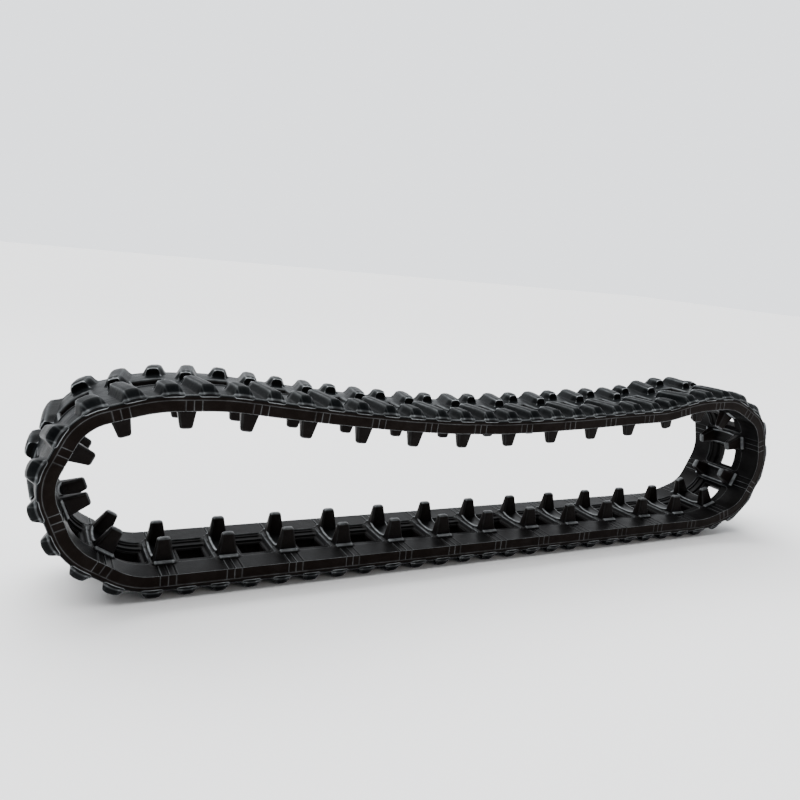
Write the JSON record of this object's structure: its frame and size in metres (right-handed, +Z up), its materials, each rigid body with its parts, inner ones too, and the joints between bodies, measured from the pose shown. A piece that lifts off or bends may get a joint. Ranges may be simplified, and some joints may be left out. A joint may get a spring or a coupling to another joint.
{
  "type": "rubber track",
  "caption": "Endless rubber track for a small tracked machine, lying in its relaxed slack loop: steel cores with twin guide horns, sprocket windows, slanted tread bars.",
  "frame": {"origin": "centre of the bounding box in X and Y, at the ground under the tread bars of the flat run", "axes": "+X along the lower flat run towards the round end, +Y across the belt, +Z up"},
  "size_m": [1.0874, 0.13, 0.2397],
  "materials": {
    "belt_rubber": "satin black vulcanised rubber",
    "steel_core": "steel casting under a thin skin of black rubber",
    "steel_cord": "brass-plated steel cord"
  },
  "bodies": {
    "flat_run": {"belt_rubber_flat_run": "belt_rubber", "steel_core_01": "steel_core", "steel_core_02": "steel_core", "steel_core_03": "steel_core", "steel_core_04": "steel_core", "steel_core_05": "steel_core", "steel_core_06": "steel_core", "steel_core_07": "steel_core", "steel_core_08": "steel_core", "steel_core_09": "steel_core", "steel_core_10": "steel_core", "steel_core_11": "steel_core", "steel_core_12": "steel_core", "steel_cord_ply_right": "steel_cord", "steel_cord_ply_left": "steel_cord"},
    "link_13": {"belt_rubber_link_13": "belt_rubber", "steel_core_13": "steel_core"},
    "link_14": {"belt_rubber_link_14": "belt_rubber", "steel_core_14": "steel_core"},
    "link_15": {"belt_rubber_link_15": "belt_rubber", "steel_core_15": "steel_core"},
    "link_16": {"belt_rubber_link_16": "belt_rubber", "steel_core_16": "steel_core"},
    "link_17": {"belt_rubber_link_17": "belt_rubber", "steel_core_17": "steel_core"},
    "link_18": {"belt_rubber_link_18": "belt_rubber", "steel_core_18": "steel_core"},
    "link_19": {"belt_rubber_link_19": "belt_rubber", "steel_core_19": "steel_core"},
    "link_20": {"belt_rubber_link_20": "belt_rubber", "steel_core_20": "steel_core"},
    "link_21": {"belt_rubber_link_21": "belt_rubber", "steel_core_21": "steel_core"},
    "link_22": {"belt_rubber_link_22": "belt_rubber", "steel_core_22": "steel_core"},
    "link_23": {"belt_rubber_link_23": "belt_rubber", "steel_core_23": "steel_core"},
    "link_24": {"belt_rubber_link_24": "belt_rubber", "steel_core_24": "steel_core"},
    "link_25": {"belt_rubber_link_25": "belt_rubber", "steel_core_25": "steel_core"},
    "link_26": {"belt_rubber_link_26": "belt_rubber", "steel_core_26": "steel_core"},
    "link_27": {"belt_rubber_link_27": "belt_rubber", "steel_core_27": "steel_core"},
    "link_28": {"belt_rubber_link_28": "belt_rubber", "steel_core_28": "steel_core"},
    "link_29": {"belt_rubber_link_29": "belt_rubber", "steel_core_29": "steel_core"},
    "link_30": {"belt_rubber_link_30": "belt_rubber", "steel_core_30": "steel_core"},
    "link_31": {"belt_rubber_link_31": "belt_rubber", "steel_core_31": "steel_core"},
    "link_32": {"belt_rubber_link_32": "belt_rubber", "steel_core_32": "steel_core"}
  },
  "joints": [
    {"name": "flex_13", "type": "hinge", "parent": "flat_run", "child": "link_13", "pos_m": [0.42825, 0, 0.02492], "axis": [0, -1, 0], "range_deg": [-4, 19], "stiffness_Nm_per_rad": 40, "deforming": ["steel_cord_ply_right", "steel_cord_ply_left"]},
    {"name": "flex_14", "type": "hinge", "parent": "link_13", "child": "link_14", "pos_m": [0.49436, 0, 0.05102], "axis": [0, -1, 0], "range_deg": [-11.38, 2.71], "stiffness_Nm_per_rad": 40},
    {"name": "flex_15", "type": "hinge", "parent": "link_14", "child": "link_15", "pos_m": [0.52237, 0, 0.11615], "axis": [0, -1, 0], "range_deg": [-6.87, 1.76], "stiffness_Nm_per_rad": 40},
    {"name": "flex_16", "type": "hinge", "parent": "link_15", "child": "link_16", "pos_m": [0.49826, 0, 0.1827], "axis": [0, -1, 0], "range_deg": [-11.39, 2.71], "stiffness_Nm_per_rad": 40},
    {"name": "flex_17", "type": "hinge", "parent": "link_16", "child": "link_17", "pos_m": [0.43378, 0, 0.21317], "axis": [0, -1, 0], "range_deg": [-1.87, 7.39], "stiffness_Nm_per_rad": 40},
    {"name": "flex_18", "type": "hinge", "parent": "link_17", "child": "link_18", "pos_m": [0.362, 0, 0.21023], "axis": [0, -1, 0], "range_deg": [-10.39, 2.5], "stiffness_Nm_per_rad": 40},
    {"name": "flex_19", "type": "hinge", "parent": "link_18", "child": "link_19", "pos_m": [0.29134, 0, 0.19662], "axis": [0, -1, 0], "range_deg": [-2.5, 10.39], "stiffness_Nm_per_rad": 40},
    {"name": "flex_20", "type": "hinge", "parent": "link_19", "child": "link_20", "pos_m": [0.21945, 0, 0.1928], "axis": [0, -1, 0], "range_deg": [-1.4, 0.61], "stiffness_Nm_per_rad": 40},
    {"name": "flex_21", "type": "hinge", "parent": "link_20", "child": "link_21", "pos_m": [0.14757, 0, 0.18861], "axis": [0, -1, 0], "range_deg": [-0.61, 1.4], "stiffness_Nm_per_rad": 40},
    {"name": "flex_22", "type": "hinge", "parent": "link_21", "child": "link_22", "pos_m": [0.07563, 0, 0.18558], "axis": [0, -1, 0], "range_deg": [-0.61, 1.4], "stiffness_Nm_per_rad": 40},
    {"name": "flex_32", "type": "hinge", "parent": "flat_run", "child": "link_32", "pos_m": [-0.43546, 0, 0.02433], "axis": [0, -1, 0], "range_deg": [-3.41, 1.03], "stiffness_Nm_per_rad": 40},
    {"name": "flex_31", "type": "hinge", "parent": "link_32", "child": "link_31", "pos_m": [-0.49663, 0, 0.06099], "axis": [0, -1, 0], "range_deg": [-0.82, 2.39], "stiffness_Nm_per_rad": 40},
    {"name": "flex_30", "type": "hinge", "parent": "link_31", "child": "link_30", "pos_m": [-0.52241, 0, 0.12721], "axis": [0, -1, 0], "range_deg": [-2.5, 10.37], "stiffness_Nm_per_rad": 40},
    {"name": "flex_29", "type": "hinge", "parent": "link_30", "child": "link_29", "pos_m": [-0.4937, 0, 0.19186], "axis": [0, -1, 0], "range_deg": [-3.14, 13.39], "stiffness_Nm_per_rad": 40},
    {"name": "flex_28", "type": "hinge", "parent": "link_29", "child": "link_28", "pos_m": [-0.42651, 0, 0.21489], "axis": [0, -1, 0], "range_deg": [-22.37, 5.03], "stiffness_Nm_per_rad": 40},
    {"name": "flex_27", "type": "hinge", "parent": "link_28", "child": "link_27", "pos_m": [-0.35462, 0, 0.21647], "axis": [0, -1, 0], "range_deg": [-2.08, 8.4], "stiffness_Nm_per_rad": 40},
    {"name": "flex_26", "type": "hinge", "parent": "link_27", "child": "link_26", "pos_m": [-0.28319, 0, 0.20767], "axis": [0, -1, 0], "range_deg": [-1.39, 0.61], "stiffness_Nm_per_rad": 40},
    {"name": "flex_25", "type": "hinge", "parent": "link_26", "child": "link_25", "pos_m": [-0.21173, 0, 0.19884], "axis": [0, -1, 0], "range_deg": [-1.39, 0.61], "stiffness_Nm_per_rad": 40},
    {"name": "flex_24", "type": "hinge", "parent": "link_25", "child": "link_24", "pos_m": [-0.14013, 0, 0.19131], "axis": [0, -1, 0], "range_deg": [-2.39, 0.82], "stiffness_Nm_per_rad": 40},
    {"name": "flex_23", "type": "hinge", "parent": "link_24", "child": "link_23", "pos_m": [-0.06831, 0, 0.18617], "axis": [0, -1, 0], "range_deg": [-2.86, 0.92], "stiffness_Nm_per_rad": 40}
  ],
  "couplings": [
    {"joint": "flex_14", "follows": "flex_13", "ratio": -0.5778},
    {"joint": "flex_15", "follows": "flex_13", "ratio": -0.34075},
    {"joint": "flex_16", "follows": "flex_13", "ratio": -0.57837},
    {"joint": "flex_17", "follows": "flex_13", "ratio": 0.36801},
    {"joint": "flex_18", "follows": "flex_13", "ratio": -0.526},
    {"joint": "flex_19", "follows": "flex_13", "ratio": 0.52572},
    {"joint": "flex_20", "follows": "flex_13", "ratio": -0.05276},
    {"joint": "flex_21", "follows": "flex_13", "ratio": 0.05239},
    {"joint": "flex_22", "follows": "flex_13", "ratio": 0.05237},
    {"joint": "flex_32", "follows": "flex_13", "ratio": -0.15834},
    {"joint": "flex_31", "follows": "flex_13", "ratio": 0.10478},
    {"joint": "flex_30", "follows": "flex_13", "ratio": 0.52453},
    {"joint": "flex_29", "follows": "flex_13", "ratio": 0.68382},
    {"joint": "flex_28", "follows": "flex_13", "ratio": -1.1566},
    {"joint": "flex_27", "follows": "flex_13", "ratio": 0.42105},
    {"joint": "flex_26", "follows": "flex_13", "ratio": -0.05226},
    {"joint": "flex_25", "follows": "flex_13", "ratio": -0.05228},
    {"joint": "flex_24", "follows": "flex_13", "ratio": -0.10489},
    {"joint": "flex_23", "follows": "flex_13", "ratio": -0.12928}
  ]
}
